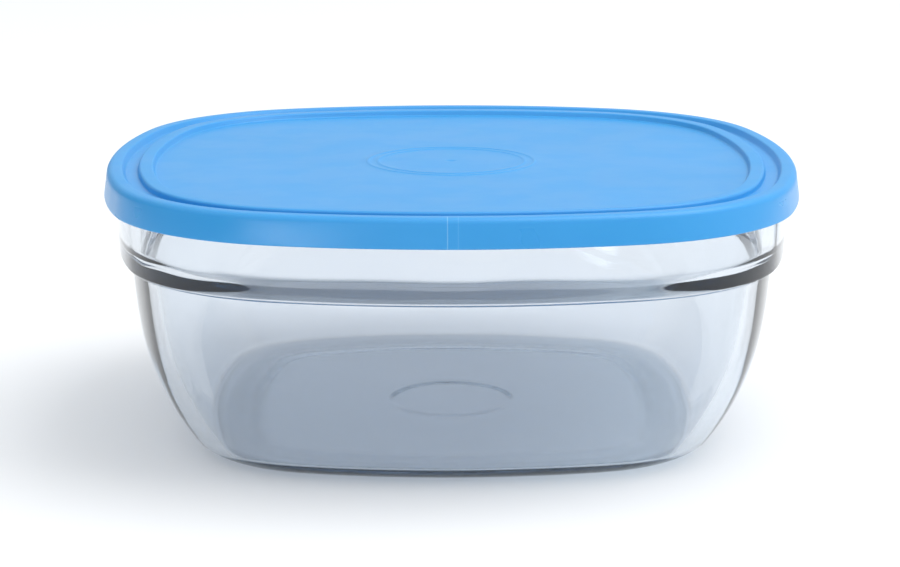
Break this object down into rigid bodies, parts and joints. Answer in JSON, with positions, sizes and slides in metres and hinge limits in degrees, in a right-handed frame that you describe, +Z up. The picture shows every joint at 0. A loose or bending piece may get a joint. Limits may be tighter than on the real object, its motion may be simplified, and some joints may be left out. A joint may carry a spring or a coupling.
{
  "type": "glass food storage container",
  "caption": "Square pressed-glass food storage container with bowed sides and a stepped collar, under a flexible blue snap lid.",
  "frame": {"origin": "centre of the resting plane, under the middle of the bowl", "axes": "+Z up out of the bowl's mouth, -Y the front side, +X the right side; the four sides are alike"},
  "size_m": [0.2066, 0.2066, 0.0808],
  "materials": {
    "pressed_glass": "clear pressed soda-lime glass, fire-polished, faintly blue-green in the thick sections",
    "blue_plastic": "satin flexible polyethylene, slightly translucent"
  },
  "bodies": {
    "bowl": {"glass_bowl": "pressed_glass"},
    "lid": {"snap_lid": "blue_plastic"}
  },
  "joints": [
    {"name": "lid_lift", "type": "slide", "parent": "bowl", "child": "lid", "axis": [0, 0, 1], "range_m": [0, 0.06]}
  ]
}
